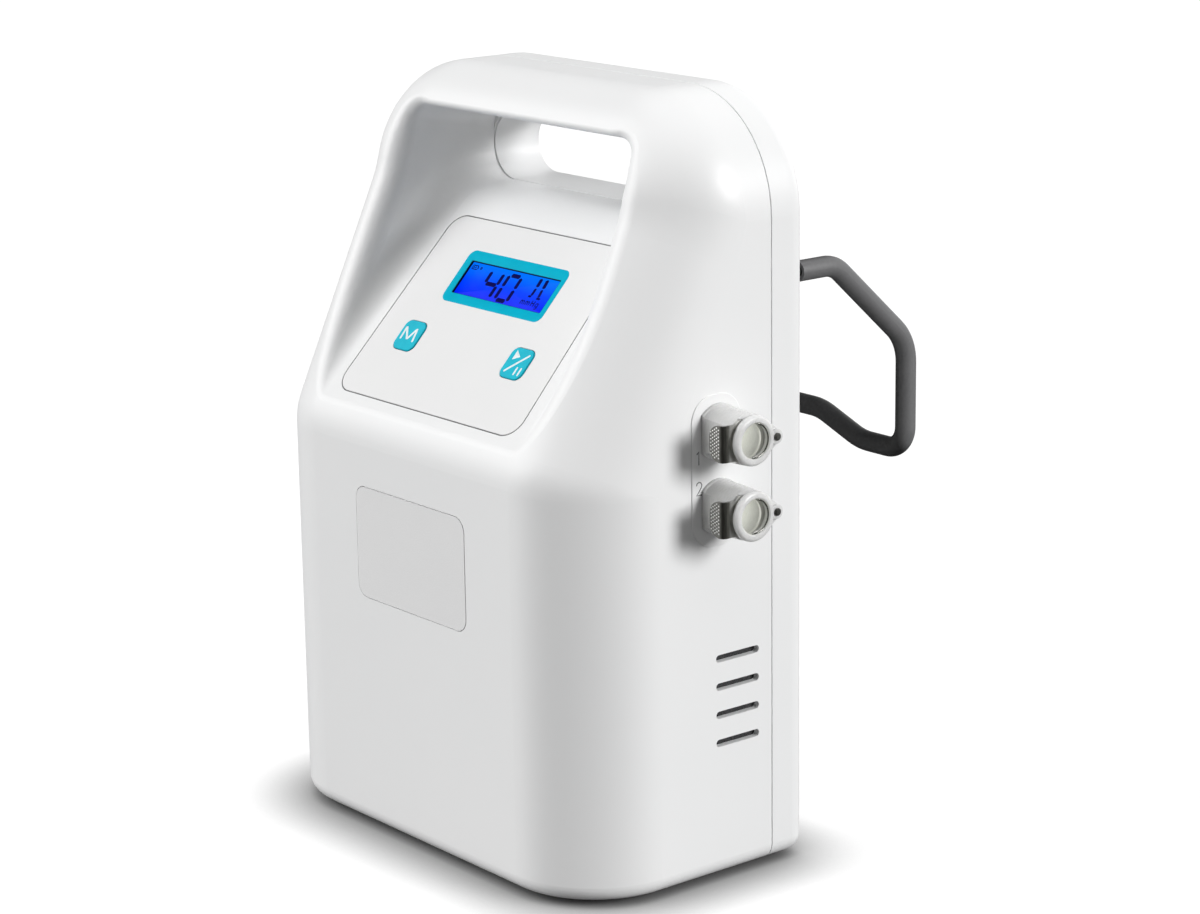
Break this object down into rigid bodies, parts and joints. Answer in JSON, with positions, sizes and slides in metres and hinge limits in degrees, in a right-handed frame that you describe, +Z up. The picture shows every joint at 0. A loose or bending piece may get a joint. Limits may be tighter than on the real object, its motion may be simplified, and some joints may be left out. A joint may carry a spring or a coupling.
{
  "type": "compression therapy pump",
  "caption": "Portable pump for limb-compression sleeves: moulded case with grip and sloped panel, side quick couplings with thumb latches, fold-down hook for a bed's footboard.",
  "frame": {"origin": "middle of the plane that the rubber feet stand on, under the case's plane of symmetry and the middle of the case's depth", "axes": "+X to the side with the couplings, -Y to the sloped control panel, +Y to the back and the hook, +Z up"},
  "size_m": [0.2078, 0.1732, 0.275],
  "materials": {
    "case_white": "satin moulded",
    "badge": "plain satin",
    "panel_film": "satin film",
    "window": "clear gloss, cyan print",
    "display": "blue liquid crystal",
    "key_teal": "satin teal",
    "port_plastic": "satin",
    "acetal": "natural, slightly translucent",
    "stainless": "brushed",
    "screw_steel": "black oxide",
    "black_rubber": "matt",
    "soft_rubber": "matt",
    "filter_foam": "open foam",
    "black_plastic": "fine texture",
    "grey_plastic": "satin",
    "board_green": "solder mask",
    "motor_steel": "zinc plated",
    "nickel": "nickel plated",
    "battery_wrap": "shrink film",
    "hose_clear": "translucent silicone",
    "hook_steel": "black",
    "hook_vinyl": "matt vinyl"
  },
  "bodies": {
    "housing": {"front_housing": "case_white", "rear_housing": "case_white", "case_screws": "screw_steel", "rubber_feet": "black_rubber", "badge_plate": "badge", "vent_filter": "filter_foam", "control_overlay": "panel_film", "lcd_window": "window", "lcd_module": "display", "control_board": "board_green", "key_switches": "black_plastic", "board_screws": "screw_steel", "port_plate": "port_plastic", "coupling_1_body": "acetal", "coupling_2_body": "acetal", "latch_pins": "stainless", "latch_1_spring": "stainless", "latch_2_spring": "stainless", "coupling_nuts": "acetal", "coupling_washers": "black_rubber", "hook_brackets": "black_plastic", "bracket_screws": "screw_steel", "switch_body": "black_plastic", "power_inlet": "black_plastic", "inlet_nut": "nickel", "chassis_plate": "grey_plastic", "chassis_screws": "screw_steel", "pump_motor": "motor_steel", "pump_head": "grey_plastic", "pump_cradle": "black_plastic", "pump_grommets": "soft_rubber", "valve_manifold": "acetal", "solenoid_valves": "motor_steel", "main_board": "board_green", "pressure_sensor": "black_plastic", "buzzer": "black_plastic", "battery_pack": "battery_wrap", "feed_hose": "hose_clear", "port_1_hose": "hose_clear", "port_2_hose": "hose_clear"},
    "hook": {"hook_rod": "hook_steel", "hook_sleeve": "hook_vinyl"},
    "latch_1": {"latch_1_plate": "stainless"},
    "latch_2": {"latch_2_plate": "stainless"},
    "mode_button": {"mode_key": "key_teal"},
    "start_button": {"start_key": "key_teal"},
    "rocker": {"power_rocker": "black_plastic"}
  },
  "joints": [
    {"name": "hook_fold", "type": "hinge", "parent": "housing", "child": "hook", "pos_m": [0, 0.0575, 0.2082], "axis": [1, 0, 0], "range_deg": [-38, 0]},
    {"name": "latch_1_press", "type": "slide", "parent": "housing", "child": "latch_1", "axis": [0, 1, 0], "range_m": [0, 0.0016], "stiffness_N_per_m": 3000, "springref_m": -0.002, "deforming": ["latch_1_spring"]},
    {"name": "latch_2_press", "type": "slide", "parent": "housing", "child": "latch_2", "axis": [0, 1, 0], "range_m": [0, 0.0016], "stiffness_N_per_m": 3000, "springref_m": -0.002, "deforming": ["latch_2_spring"]},
    {"name": "mode_key_press", "type": "slide", "parent": "housing", "child": "mode_button", "axis": [0, 0.7226, -0.6913], "range_m": [0, 0.0005], "stiffness_N_per_m": 2000, "springref_m": -0.0002},
    {"name": "start_key_press", "type": "slide", "parent": "housing", "child": "start_button", "axis": [0, 0.7226, -0.6913], "range_m": [0, 0.0005], "stiffness_N_per_m": 2000, "springref_m": -0.0002},
    {"name": "rocker_tilt", "type": "hinge", "parent": "housing", "child": "rocker", "pos_m": [-0.05, 0.0501, 0.034], "axis": [1, 0, 0], "range_deg": [0, 16]}
  ]
}
